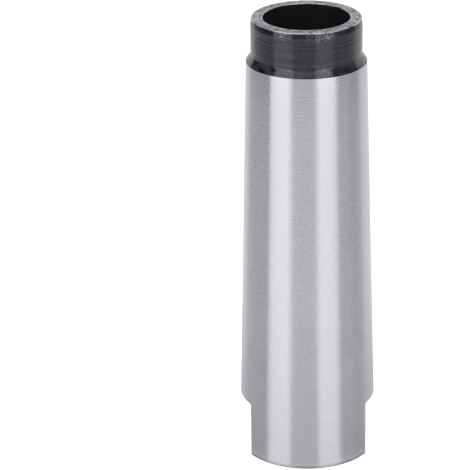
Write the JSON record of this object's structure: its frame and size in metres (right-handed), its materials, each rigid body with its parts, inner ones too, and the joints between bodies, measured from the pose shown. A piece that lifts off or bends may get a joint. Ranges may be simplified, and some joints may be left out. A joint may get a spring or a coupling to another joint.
{
  "type": "morse taper sleeve",
  "caption": "Open-ended reducing sleeve for machine tapers: number 3 taper outside, number 2 socket inside, drawbar bore through a blackened neck, spanner flats on the large end.",
  "frame": {"origin": "centre of the large end's face, on the sleeve's axis", "axes": "+Z along the axis from the large end to the small end, +X and -X out of the spanner flats"},
  "size_m": [0.0239, 0.0244, 0.08],
  "materials": {
    "steel": "hardened steel, bright ground on the outside taper and the large end's face, bright reamed in the socket, blackened on the neck, the flats and the drawbar bore"
  },
  "bodies": {
    "root": {"sleeve": "steel"}
  },
  "joints": []
}
